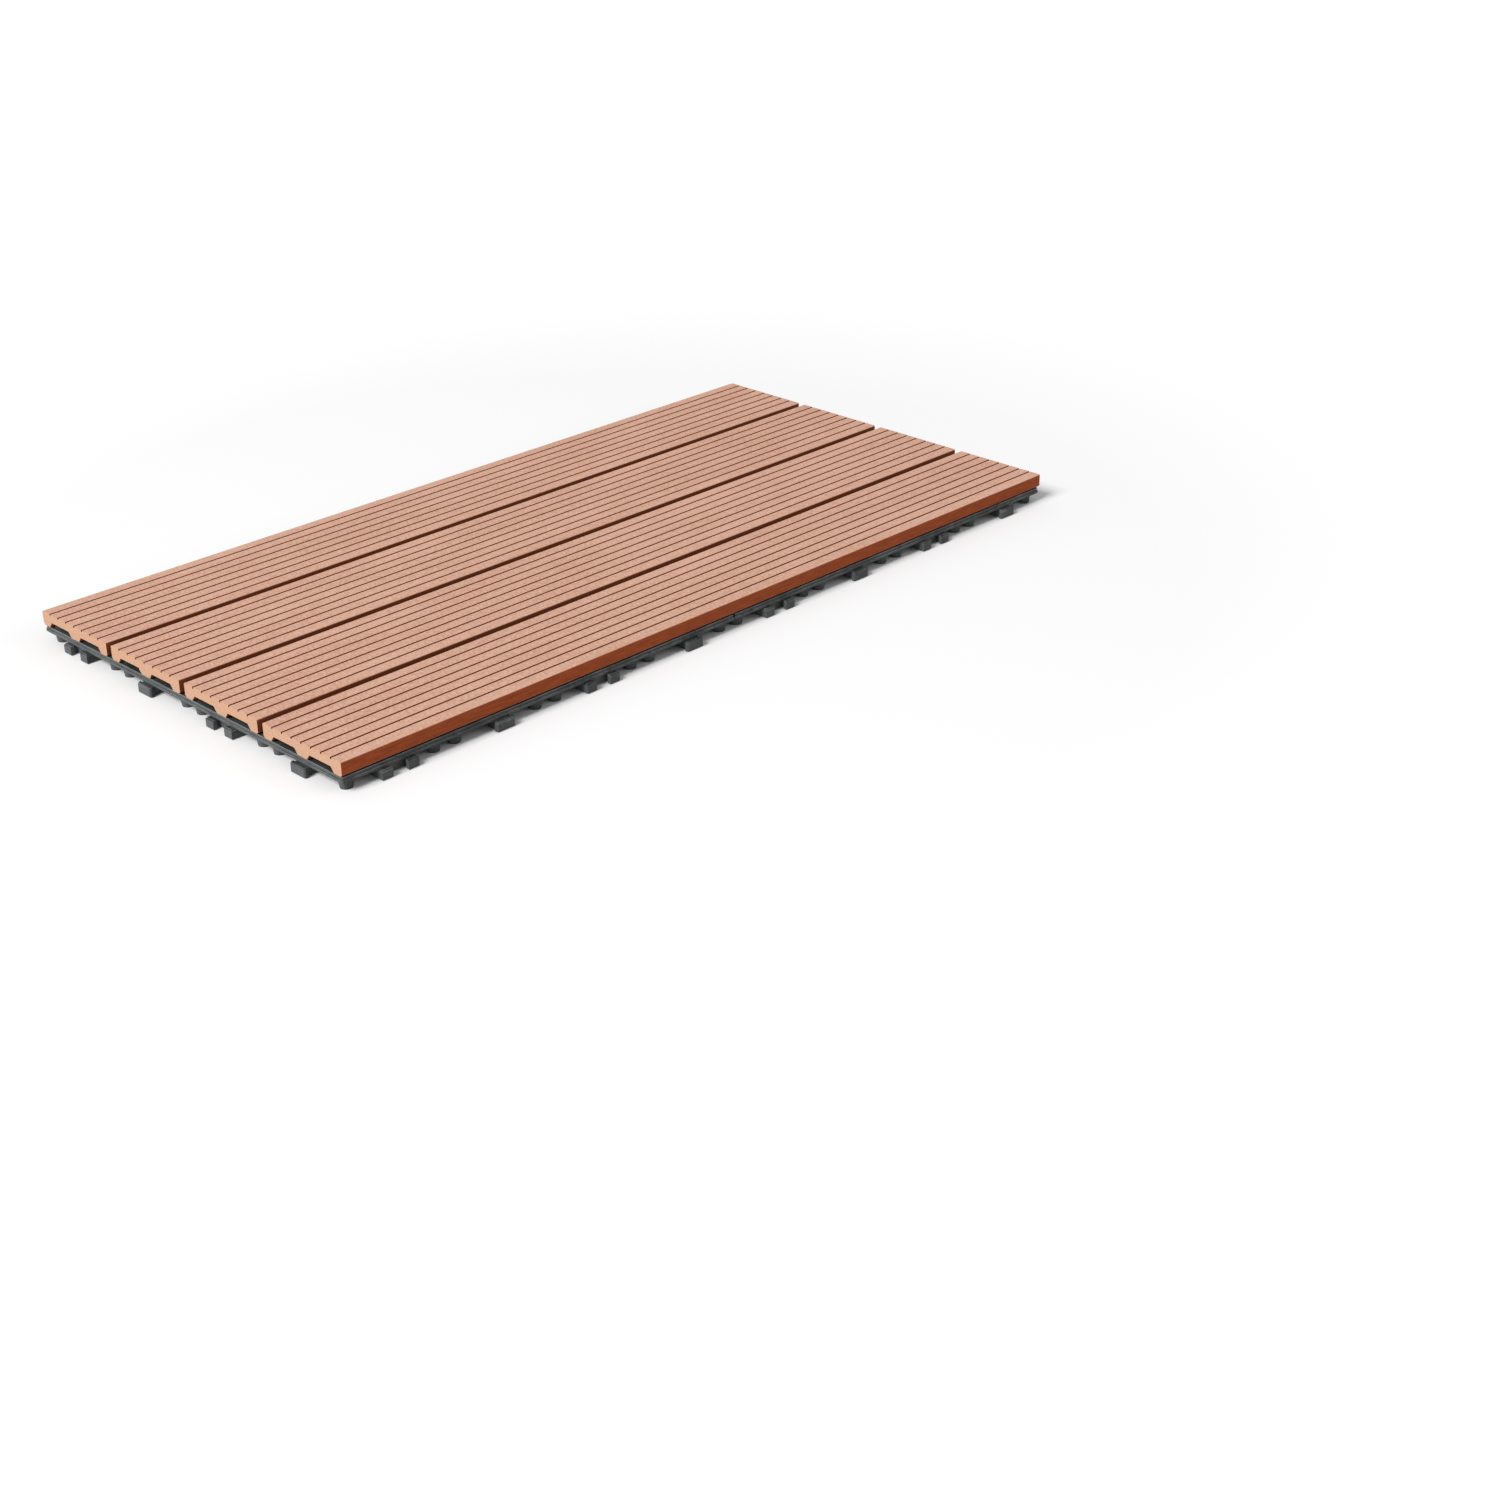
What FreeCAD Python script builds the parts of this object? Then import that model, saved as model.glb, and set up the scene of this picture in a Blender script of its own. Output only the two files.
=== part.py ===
import FreeCAD, Part
import Sketcher
import math
import os

# Interlocking deck tile: four grooved boards screwed to two moulded lattice bases that clip together.
# X runs along the boards, Y across them and Z up, and the feet stand on z = 0.

sizes = {
    "moduleSide": 300.0,        # pitch of the square lattice bases
    "moduleCount": 2,           # bases side by side along one tile
    "boardCount": 4,
    "boardGap": 5.3,
    "boardThick": 9.0,
    "boardTopRound": 0.9,
    "boardBottomBevel": 1.2,
    "landCount": 8,             # flat strips between the grooves of one board
    "grooveWidth": 1.1,
    "grooveDepth": 1.0,
    "edgeLeg": 7.0,             # solid strip under each board edge
    "middleLeg": 8.4,           # solid strip under the board's centre line
    "channelDepth": 3.4,
    "channelSlope": 2.6,        # how far each channel wall leans inwards
    "baseHeight": 11.0,         # from the ground to the underside of the boards
    "rimInset": 0.3,            # from the module's edge line to the rim's outer face
    "rimWidth": 7.5,
    "rimDrop": 0.7,             # the rim's top lies this far below the ribs'
    "rimHeight": 3.6,
    "rimCorner": 1.0,
    "cellsAcross": 4,           # square cells of the lattice along one side
    "ribThick": 1.9,
    "ribHeight": 4.7,
    "hubWidth": 12.8,
    "hubBottom": 5.4,
    "feetAcross": 3,            # feet along one side of a cell
    "footSetback": 7.5,         # from a cell's side to the middle of its outer feet
    "footTip": 7.0,             # width of a foot where it meets the ground
    "footTop": 8.0,             # width of a foot at the ribs
    "clipBottom": 0.5,          # height of the clips' lower faces
    "clipHeight": 5.8,
    "clipClearance": 0.35,
    "clipRoot": 8.0,            # how far a clip reaches inwards under the rim
    "tabHead": 13.5,
    "tabNeck": 9.9,
    "headThick": 2.4,
    "headBevel": 0.8,
    "lipThick": 2.4,
    "prongReach": 2.3,          # how far a socket's prongs stand past the module's edge line
    "prongWidth": 7.4,
    "screwHeadWidth": 4.6,
    "screwHeadHeight": 1.5,
    "screwWidth": 2.8,
    "screwLength": 9.0,         # under the head
    "screwPoint": 2.5,
    "screwSeat": 2.5,           # plastic left between the screw head and the board
    "screwClearance": 0.1,
}

doc = FreeCAD.newDocument("DeckTile")
sheet = doc.addObject("Spreadsheet::Sheet", "Sizes")
for row, (name, value) in enumerate(sizes.items(), start=1):
    sheet.set("A%d" % row, name)
    sheet.set("B%d" % row, str(value))
    sheet.setAlias("B%d" % row, name)
doc.recompute()


def size(name):
    return float(sheet.get(name))


def count(name):
    return int(sheet.get(name))


# Values that follow from the sheet, first for the code and then as expressions for the features.
cellSide = size("moduleSide") / count("cellsAcross")
boardPitch = (size("moduleSide") + size("boardGap")) / count("boardCount")
boardWidth = boardPitch - size("boardGap")
rimOuter = size("moduleSide") / 2 - size("rimInset")
rimInner = rimOuter - size("rimWidth")
rimMiddle = rimOuter - size("rimWidth") / 2
rimBottom = size("baseHeight") - size("rimDrop") - size("rimHeight")
ribBottom = size("baseHeight") - size("ribHeight")
firstModule = -(count("moduleCount") - 1) / 2 * size("moduleSide")
screwColumn = size("moduleSide") * count("moduleCount") / 2 - cellSide / 2
cellMiddles = [(cell - (count("cellsAcross") - 1) / 2) * cellSide for cell in range(count("cellsAcross"))]
footSpread = cellSide - 2 * size("footSetback")
footPlaces = [middle + (number / (count("feetAcross") - 1) - 0.5) * footSpread
              for middle in cellMiddles for number in range(count("feetAcross"))]

boardWidthRule = "((Sizes.moduleSide + Sizes.boardGap) / Sizes.boardCount - Sizes.boardGap)"
boardLengthRule = "Sizes.moduleSide * Sizes.moduleCount"


def originPlane(body, role):
    return next(item for item in body.Origin.OriginFeatures if item.Role == role)


def addSketch(body, name, role):
    """A sketch on one of its body's origin planes."""
    sketch = body.newObject("Sketcher::SketchObject", name)
    sketch.AttachmentSupport = [(originPlane(body, role), "")]
    sketch.MapMode = "FlatFace"
    return sketch


def addOutline(sketch, points):
    """A closed outline of straight lines through the points, joined at its corners."""
    first = sketch.GeometryCount
    corners = [FreeCAD.Vector(x, y, 0) for x, y in points]
    for start, end in zip(corners, corners[1:] + corners[:1]):
        sketch.addGeometry(Part.LineSegment(start, end))
    for side in range(len(points)):
        after = first + (side + 1) % len(points)
        sketch.addConstraint(Sketcher.Constraint("Coincident", first + side, 2, after, 1))
    return first


def bind(sketch, kind, start, end, value, rule):
    """A distance between two sketch points, bound to an expression."""
    index = sketch.addConstraint(Sketcher.Constraint(kind, start[0], start[1], end[0], end[1], value))
    sketch.setExpression("Constraints[%d]" % index, rule)


def addBox(sketch, left, bottom, width, height, rules):
    """A rectangle whose left, bottom, width and height follow four expressions."""
    origin = (-1, 1)
    first = addOutline(sketch, [(left, bottom), (left + width, bottom),
                                (left + width, bottom + height), (left, bottom + height)])
    for side, way in enumerate(["Horizontal", "Vertical", "Horizontal", "Vertical"]):
        sketch.addConstraint(Sketcher.Constraint(way, first + side))
    bind(sketch, "DistanceX", origin, (first, 1), left, rules[0])
    bind(sketch, "DistanceY", origin, (first, 1), bottom, rules[1])
    bind(sketch, "DistanceX", (first, 1), (first, 2), width, rules[2])
    bind(sketch, "DistanceY", (first + 1, 1), (first + 1, 2), height, rules[3])


def addFeature(body, kind, name, sketch, rules, **settings):
    feature = body.newObject("PartDesign::" + kind, name)
    feature.Profile = sketch
    for key, value in settings.items():
        setattr(feature, key, value)
    for key, rule in rules.items():
        feature.setExpression(key, rule)
    return feature


def addPattern(body, name, original, axis, spacing, copies):
    """Equal steps along one axis of a sketch."""
    pattern = body.newObject("PartDesign::LinearPattern", name)
    pattern.Originals = [original]
    pattern.Direction = axis
    pattern.Mode = "Spacing"
    pattern.setExpression("Offset", spacing)
    pattern.setExpression("Occurrences", copies)
    body.Tip = pattern


def addEdgeFeature(body, kind, name, key, rule, along, wanted):
    """A fillet or chamfer on the edges that run along one axis and whose middle passes a test."""
    doc.recompute()
    base = body.Tip
    names = []
    for number, edge in enumerate(base.Shape.Edges, start=1):
        run = edge.Vertexes[-1].Point - edge.Vertexes[0].Point
        if run.Length and run.cross(along).Length < 0.001 * run.Length and wanted(edge.CenterOfMass):
            names.append("Edge%d" % number)
    feature = body.newObject("PartDesign::" + kind, name)
    feature.Base = (base, names)
    feature.setExpression(key, rule)
    body.Tip = feature


def boardMiddle(index):
    return (index - (count("boardCount") - 1) / 2) * boardPitch


def screwRow(index):
    """The row of feet nearest to a board's centre line takes its screws."""
    return min(footPlaces, key=lambda place: abs(place - boardMiddle(index)))


def ring(x, y, z, width, sides):
    """An even outline of straight sides, with opposite sides the given width apart."""
    radius = width / 2 / math.cos(math.pi / sides)
    turns = [2 * math.pi / sides * (number + 0.5) for number in range(sides + 1)]
    return Part.makePolygon([FreeCAD.Vector(x + radius * math.cos(turn), y + radius * math.sin(turn), z)
                             for turn in turns])


def post(x, y, z, width, height, sides):
    return Part.Face(ring(x, y, z, width, sides)).extrude(FreeCAD.Vector(0, 0, height))


def hexPost(x, y, z, width, height):
    return post(x, y, z, width, height, 6)


def slab(left, front, bottom, width, depth, height):
    return Part.makeBox(width, depth, height, FreeCAD.Vector(left, front, bottom))


def turned(shape, degrees):
    copy = shape.copy()
    copy.rotate(FreeCAD.Vector(0, 0, 0), FreeCAD.Vector(0, 0, 1), degrees)
    return copy


def moved(shape, x, y, z=0):
    copy = shape.copy()
    copy.translate(FreeCAD.Vector(x, y, z))
    return copy


def makeBoard(name, index):
    """A grooved board with two wide channels underneath and screw holes in its middle leg."""
    body = doc.addObject("PartDesign::Body", name)
    blank = addSketch(body, name + "_section", "YZ_Plane")
    addBox(blank, -boardWidth / 2, 0, boardWidth, size("boardThick"),
           ["-%s / 2" % boardWidthRule, "0", boardWidthRule, "Sizes.boardThick"])
    addFeature(body, "Pad", name + "_plank", blank, {"Length": boardLengthRule}, SideType="Symmetric")
    half = size("boardThick") / 2
    along = FreeCAD.Vector(1, 0, 0)
    addEdgeFeature(body, "Fillet", name + "_top_rounds", "Radius", "Sizes.boardTopRound", along,
                   lambda middle: middle.z > half)
    addEdgeFeature(body, "Chamfer", name + "_bottom_bevels", "Size", "Sizes.boardBottomBevel", along,
                   lambda middle: middle.z < half)

    groove = addSketch(body, name + "_groove", "YZ_Plane")
    landPitch = boardWidth / count("landCount")
    addBox(groove, -boardWidth / 2 + landPitch - size("grooveWidth") / 2,
           size("boardThick") - size("grooveDepth"), size("grooveWidth"), size("boardThick"),
           ["%s * (1 / Sizes.landCount - 1 / 2) - Sizes.grooveWidth / 2" % boardWidthRule,
            "Sizes.boardThick - Sizes.grooveDepth", "Sizes.grooveWidth", "Sizes.boardThick"])
    cut = addFeature(body, "Pocket", name + "_groove_cut", groove, {"Length": boardLengthRule},
                     SideType="Symmetric")
    addPattern(body, name + "_grooves", cut, (groove, ["H_Axis"]),
               "%s / Sizes.landCount" % boardWidthRule, "Sizes.landCount - 1")

    channel = addSketch(body, name + "_channel", "YZ_Plane")
    mouth = (boardWidth - size("middleLeg")) / 2 - size("edgeLeg")
    inner = -size("middleLeg") / 2
    slope = size("channelSlope")
    depth = size("channelDepth")
    first = addOutline(channel, [(inner - mouth, 0), (inner, 0), (inner - slope, depth),
                                 (inner - mouth + slope, depth)])
    for side in (0, 2):
        channel.addConstraint(Sketcher.Constraint("Horizontal", first + side))
    bind(channel, "DistanceX", (first, 2), (-1, 1), -inner, "Sizes.middleLeg / 2")
    bind(channel, "DistanceY", (-1, 1), (first + 1, 2), depth, "Sizes.channelDepth")
    bind(channel, "DistanceX", (first, 1), (first, 2), mouth,
         "(%s - Sizes.middleLeg) / 2 - Sizes.edgeLeg" % boardWidthRule)
    bind(channel, "DistanceX", (first + 1, 2), (first + 1, 1), slope, "Sizes.channelSlope")
    bind(channel, "DistanceX", (first + 3, 2), (first + 3, 1), slope, "Sizes.channelSlope")
    channel.addConstraint(Sketcher.Constraint("PointOnObject", first, 1, -1))
    cut = addFeature(body, "Pocket", name + "_channel_cut", channel, {"Length": boardLengthRule},
                     SideType="Symmetric")
    addPattern(body, name + "_channels", cut, (channel, ["H_Axis"]),
               "(%s + Sizes.middleLeg) / 2 - Sizes.edgeLeg" % boardWidthRule, "2")
    return body


def drillBoard(body, name, index):
    """Blind six-sided holes from below for the shanks of the board's screws."""
    holes = addSketch(body, name + "_screw_holes", "XY_Plane")
    width = size("screwWidth") + 2 * size("screwClearance")
    for x in (-screwColumn, screwColumn):
        corners = ring(x, screwRow(index) - boardMiddle(index), 0, width, 6).Vertexes
        addOutline(holes, [(corner.X, corner.Y) for corner in corners])
    addFeature(body, "Pocket", name + "_screw_cuts", holes,
               {"Length": "Sizes.screwLength - Sizes.screwSeat + Sizes.screwClearance"}, Reversed=True)
    body.Placement.Base = FreeCAD.Vector(0, boardMiddle(index), size("baseHeight"))


def latticeShape():
    """The grid: a rim band, ribs on both diagonals, one straight rib each way, hubs and screw bosses."""
    tall = size("rimHeight")
    wide = 2 * rimOuter
    rim = slab(-rimOuter, -rimOuter, rimBottom, wide, wide, tall)
    uprights = [edge for edge in rim.Edges if abs(edge.Vertexes[0].Z - edge.Vertexes[-1].Z) > tall / 2]
    rim = rim.makeChamfer(size("rimCorner"), uprights)
    rim = rim.cut(slab(-rimInner, -rimInner, rimBottom, 2 * rimInner, 2 * rimInner, tall))
    height = size("ribHeight")
    thick = size("ribThick")
    straight = slab(-rimMiddle, -thick / 2, ribBottom, 2 * rimMiddle, thick, height)
    ribs = [straight, turned(straight, 90)]
    pitch = cellSide / 2 / math.sqrt(2)
    ribsEachSide = 2 * count("cellsAcross") - 1
    for number in range(-ribsEachSide, ribsEachSide + 1):
        reach = math.sqrt(2) * rimMiddle - abs(number * pitch)
        rib = slab(number * pitch - thick / 2, -reach, ribBottom, thick, 2 * reach, height)
        ribs += [turned(rib, 45), turned(rib, -45)]
    inner = [(left + right) / 2 for left, right in zip(cellMiddles, cellMiddles[1:])]
    drop = size("baseHeight") - size("hubBottom")
    hubs = [post(x, y, size("hubBottom"), size("hubWidth"), drop, 8) for x in inner for y in inner]
    boss = size("footTop")
    bosses = [slab(x - boss / 2, y - boss / 2, ribBottom, boss, boss, height) for x, y in screwPlaces()]
    return rim.fuse(ribs + hubs + bosses)


def footShapes():
    """Tapered posts in small square groups, one group to each cell of the grid."""
    tip = size("footTip") / 2
    top = size("footTop") / 2
    foot = Part.makeWedge(-tip, 0, -tip, -top, -top, tip, ribBottom, tip, top, top)
    foot.rotate(FreeCAD.Vector(0, 0, 0), FreeCAD.Vector(1, 0, 0), 90)
    return [moved(foot, x, y) for x in footPlaces for y in footPlaces]


def clipShapes():
    """Snap clips of the front side, tabs and sockets by turns: the full blocks and the finished clips."""
    edge = -size("moduleSide") / 2
    gap = size("clipClearance")
    low = size("clipBottom")
    tall = size("clipHeight")
    prongFace = edge - size("prongReach")
    lipBack = prongFace + size("lipThick")
    headBack = 2 * edge - lipBack - gap
    headTip = headBack - size("headThick")
    socketEnd = 2 * edge - headTip + gap
    root = -rimOuter + size("clipRoot")
    heel = socketEnd + gap
    rise = rimBottom - low
    neck = size("tabNeck")
    head = size("tabHead")
    mouth = neck + 2 * gap
    blocks = []
    clips = []
    for number, x in enumerate(cellMiddles):
        if number % 2:
            tip = slab(x - head / 2, headTip, low, head, size("headThick"), tall)
            corners = [line for line in tip.Edges
                       if abs(line.Vertexes[0].Z - line.Vertexes[-1].Z) > tall / 2
                       and abs(line.CenterOfMass.y - headTip) < gap / 2]
            stem = slab(x - neck / 2, headBack, low, neck, root - headBack, tall)
            pad = slab(x - neck / 2, heel, low, neck, root - heel, rise)
            blocks.append(stem.fuse(pad))
            clips.append(tip.makeChamfer(size("headBevel"), corners).fuse([stem, pad]).removeSplitter())
        else:
            wide = mouth + 2 * size("prongWidth")
            block = slab(x - wide / 2, prongFace, low, wide, root - prongFace, tall)
            pad = slab(x - wide / 2, heel, low, wide, root - heel, rise)
            entry = slab(x - mouth / 2, prongFace, low, mouth, lipBack - prongFace, tall)
            room = slab(x - head / 2 - gap, lipBack, low, head + 2 * gap, socketEnd - lipBack, tall)
            blocks.append(block.fuse(pad))
            clips.append(block.fuse(pad).cut([entry, room]).removeSplitter())
    return blocks, clips


def screwPlaces():
    return [(size("moduleSide") / 2 - cellSide / 2, screwRow(index)) for index in range(count("boardCount"))]


def screwBores():
    """A six-sided recess for each screw head inside its foot and a hole for the shank above it."""
    gap = size("screwClearance")
    width = size("screwHeadWidth") + 2 * gap
    seat = size("baseHeight") - size("screwSeat")
    bores = []
    for x, y in screwPlaces():
        recess = hexPost(x, y, 0, width, seat)
        hole = hexPost(x, y, seat, size("screwWidth") + 2 * gap, size("screwSeat"))
        bores.append(recess.fuse(hole))
    return bores


def baseShape():
    """One square moulding: the grid, the feet that stand under it and the clips let into its rim.

    Its four sides carry the same row of clips, each turned a quarter from the last, and a clip takes in
    the foot below it.
    """
    blocks, clips = clipShapes()
    bores = screwBores()
    feet = footShapes()
    room = []
    members = []
    for turn in (0, 90, 180, 270):
        for block, clip in zip(blocks, clips):
            block = turned(block, turn)
            room.append(block)
            near = [foot.BoundBox.intersect(block.BoundBox) for foot in feet]
            below = [foot for foot, isNear in zip(feet, near) if isNear]
            feet = [foot for foot, isNear in zip(feet, near) if not isNear]
            members.append(turned(clip, turn).fuse(below).removeSplitter())
    for foot in feet:
        taken = [bore for bore in bores if bore.BoundBox.intersect(foot.BoundBox)]
        members.append(foot.cut(taken) if taken else foot)
    grid = latticeShape().cut(room + bores).removeSplitter()
    return Part.makeCompound(grid.Solids + [member.Solids[0] for member in members])


def screwShape():
    """A screw that points up, with the seat of its head at z = 0."""
    head = hexPost(0, 0, -size("screwHeadHeight"), size("screwHeadWidth"), size("screwHeadHeight"))
    shank = hexPost(0, 0, 0, size("screwWidth"), size("screwLength") - size("screwPoint"))
    start = ring(0, 0, size("screwLength") - size("screwPoint"), size("screwWidth"), 6)
    point = Part.makeLoft([start, Part.Vertex(0, 0, size("screwLength"))], True, True)
    return head.fuse([shank, point]).removeSplitter()


def addShape(name, shape, place):
    feature = doc.addObject("Part::Feature", name)
    feature.Shape = shape
    feature.Placement = place
    return feature


boardNames = ["board_front", "board_front_middle", "board_back_middle", "board_back"]
pieces = []
for index in range(count("boardCount")):
    name = boardNames[index] if count("boardCount") == len(boardNames) else "board_%d" % (index + 1)
    board = makeBoard(name, index)
    drillBoard(board, name, index)
    pieces.append(board)

# Both mouldings come from one mould; the right one is turned half round, so its screw holes face outwards.
moulding = baseShape()
halfTurn = FreeCAD.Rotation(FreeCAD.Vector(0, 0, 1), 180)
for number in range(count("moduleCount")):
    name = ["base_left", "base_right"][number] if count("moduleCount") == 2 else "base_%d" % (number + 1)
    centre = FreeCAD.Vector(firstModule + number * size("moduleSide"), 0, 0)
    turn = halfTurn if number == 0 else FreeCAD.Rotation()
    pieces.append(addShape(name, moulding, FreeCAD.Placement(centre, turn)))

screw = screwShape()
seat = size("baseHeight") - size("screwSeat")
copies = [moved(screw, x, screwRow(index), seat) for x in (-screwColumn, screwColumn)
          for index in range(count("boardCount"))]
pieces.append(addShape("screws", Part.makeCompound(copies), FreeCAD.Placement()))

doc.recompute()
for item in doc.Objects:
    if "Invalid" in item.State or "Error" in item.State:
        raise RuntimeError("%s failed: %s" % (item.Label, item.State))
for piece in pieces:
    if piece.Shape.isNull() or not piece.Shape.isValid():
        raise RuntimeError("%s has no valid shape" % piece.Label)

os.makedirs("parts", exist_ok=True)
for piece in pieces:
    piece.Shape.exportStep("parts/%s.step" % piece.Label)
    print(piece.Label, len(piece.Shape.Solids), "solids", round(piece.Shape.Volume), "mm3")
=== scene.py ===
import bpy
import math
from mathutils import Matrix, Vector


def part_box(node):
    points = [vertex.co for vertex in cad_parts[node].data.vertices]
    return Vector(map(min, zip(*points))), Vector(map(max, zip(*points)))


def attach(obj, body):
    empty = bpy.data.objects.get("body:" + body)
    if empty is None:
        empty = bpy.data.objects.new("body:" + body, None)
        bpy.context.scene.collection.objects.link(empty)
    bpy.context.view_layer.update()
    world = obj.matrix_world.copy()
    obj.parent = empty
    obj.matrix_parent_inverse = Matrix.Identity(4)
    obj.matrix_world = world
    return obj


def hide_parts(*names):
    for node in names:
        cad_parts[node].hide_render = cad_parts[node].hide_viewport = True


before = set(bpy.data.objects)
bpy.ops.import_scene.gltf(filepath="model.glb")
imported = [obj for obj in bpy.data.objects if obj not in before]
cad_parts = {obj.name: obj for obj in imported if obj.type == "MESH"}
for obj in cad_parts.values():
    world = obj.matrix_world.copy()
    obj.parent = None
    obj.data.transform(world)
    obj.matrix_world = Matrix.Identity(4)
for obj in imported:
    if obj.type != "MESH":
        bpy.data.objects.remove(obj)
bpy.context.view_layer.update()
millimetre = 0.001
print("frame loaded:", sorted(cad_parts))

boardNames = ["board_front", "board_front_middle", "board_back_middle", "board_back"]
baseNames = ["base_left", "base_right"]


# Small helpers for node trees

def addNode(tree, kind, inputs=None, **settings):
    node = tree.nodes.new(kind)
    for key, value in settings.items():
        setattr(node, key, value)
    for key, value in (inputs or {}).items():
        if isinstance(value, bpy.types.NodeSocket):
            tree.links.new(value, node.inputs[key])
        else:
            node.inputs[key].default_value = value
    return node


def mathNode(tree, operation, first, second=0.0, third=0.0):
    node = addNode(tree, "ShaderNodeMath", {0: first, 1: second, 2: third}, operation=operation)
    return node.outputs[0]


def vectorNode(tree, x, y, z):
    return addNode(tree, "ShaderNodeCombineXYZ", {0: x, 1: y, 2: z}).outputs[0]


# Materials

def startMaterial(name):
    material = bpy.data.materials.new(name)
    material.use_nodes = True
    tree = material.node_tree
    tree.nodes.clear()
    shader = tree.nodes.new("ShaderNodeBsdfPrincipled")
    output = tree.nodes.new("ShaderNodeOutputMaterial")
    tree.links.new(shader.outputs[0], output.inputs[0])
    return material, tree, shader


def objectCoordinates(tree, scale=(1, 1, 1)):
    place = addNode(tree, "ShaderNodeTexCoord")
    mapping = addNode(tree, "ShaderNodeMapping", {"Vector": place.outputs["Object"], "Scale": scale})
    return mapping.outputs[0]


def noiseNode(tree, pattern):
    return addNode(tree, "ShaderNodeTexNoise", {
        "Vector": objectCoordinates(tree, pattern["stretch"]), "Scale": pattern["scale"],
        "Detail": pattern["detail"], "Roughness": pattern["roughness"]}).outputs["Fac"]


def bumpNode(tree, height, strength, distance, normal=None):
    inputs = {"Strength": strength, "Distance": distance, "Height": height}
    if normal is not None:
        inputs["Normal"] = normal
    return addNode(tree, "ShaderNodeBump", inputs).outputs[0]


def rampNode(tree, factor, low, high, fromLow, fromHigh):
    ramp = addNode(tree, "ShaderNodeMapRange", {
        "Value": factor, "From Min": fromLow, "From Max": fromHigh, "To Min": low, "To Max": high})
    ramp.clamp = True
    return ramp.outputs[0]


def contrastNode(tree, noise, pattern, low=0, high=1):
    return rampNode(tree, noise, low, high, *pattern["contrast"])


def mixColours(tree, factor, first, second):
    mix = tree.nodes.new("ShaderNodeMix")
    mix.data_type = "RGBA"
    for socket, value in [(mix.inputs[0], factor), (mix.inputs[6], first), (mix.inputs[7], second)]:
        if isinstance(value, bpy.types.NodeSocket):
            tree.links.new(value, socket)
        else:
            socket.default_value = value
    return mix.outputs[2]


# Where the boards lie, for the painted shade along their grooves

boardLow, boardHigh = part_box("board_front")
boardTop = boardHigh.z
boardWidth = boardHigh.y - boardLow.y
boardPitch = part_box("board_front_middle")[0].y - boardLow.y
tileHalf = -boardLow.y

compositeLook = {
    "top": (0.58, 0.33, 0.233, 1),
    "topPale": (0.70, 0.44, 0.333, 1),
    "topDark": (0.39, 0.185, 0.117, 1),
    # painted shade for the grooves, their walls and shoulders
    "groove": (0.17, 0.028, 0.008, 1),
    "side": (0.30, 0.061, 0.014, 1),
    "sideDark": (0.20, 0.037, 0.009, 1),
    # painted shade on the boards' sides in the gaps between them
    "gap": (0.19, 0.047, 0.016, 1),
    "sawn": (0.60, 0.37, 0.25, 1),
    "sawnDark": (0.43, 0.23, 0.145, 1),
    "underside": (0.33, 0.115, 0.06, 1),
    "brushed": {"stretch": (150, 60, 60), "scale": 6.0, "detail": 5.0, "roughness": 0.75,
                "contrast": (0.34, 0.66)},
    "patches": {"stretch": (9, 30, 10), "scale": 1.4, "detail": 3.0, "roughness": 0.55,
                "contrast": (0.4, 0.75)},
    "grain": {"stretch": (14, 160, 160), "scale": 5.0, "detail": 4.0, "roughness": 0.55,
              "contrast": (0.35, 0.7)},
    "chips": {"stretch": (400, 400, 400), "scale": 3.0, "detail": 4.0, "roughness": 0.75,
              "contrast": (0.35, 0.68)},
    "evenness": 0.2,            # share of the plain top colour
    "patchShare": 0.35,
    "undersideShare": 0.5,
    "landCount": 8,
    "edgeLand": 6.0 * millimetre,       # no groove is nearer to a board's edge
    "shoulder": (0.62 * millimetre, 0.95 * millimetre),     # painted shade beside a groove, from its middle
    "shoulderShade": 0.75,
    # depths below the top, deeper one first
    "grooveFade": (0.35 * millimetre, 0.05 * millimetre),   # painted shade below, none above
    "grooveWalls": (1.2 * millimetre, 1.1 * millimetre),    # walls above this are a groove's
    "outerWall": (1 * millimetre, 2 * millimetre),          # from the tile's edge; further in is a gap, whose walls get painted shade
    # parts of a face's normal over which the finish of that side sets in
    "upward": (0.3, 0.75),
    "downward": (-0.75, -0.3),
    "endways": (0.6, 0.8),
    "roughness": 0.78,
    "specular": 0.15,
    "brushedBump": (0.35, 0.4 * millimetre),
    "chippedBump": (0.5, 0.3 * millimetre),
}


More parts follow.
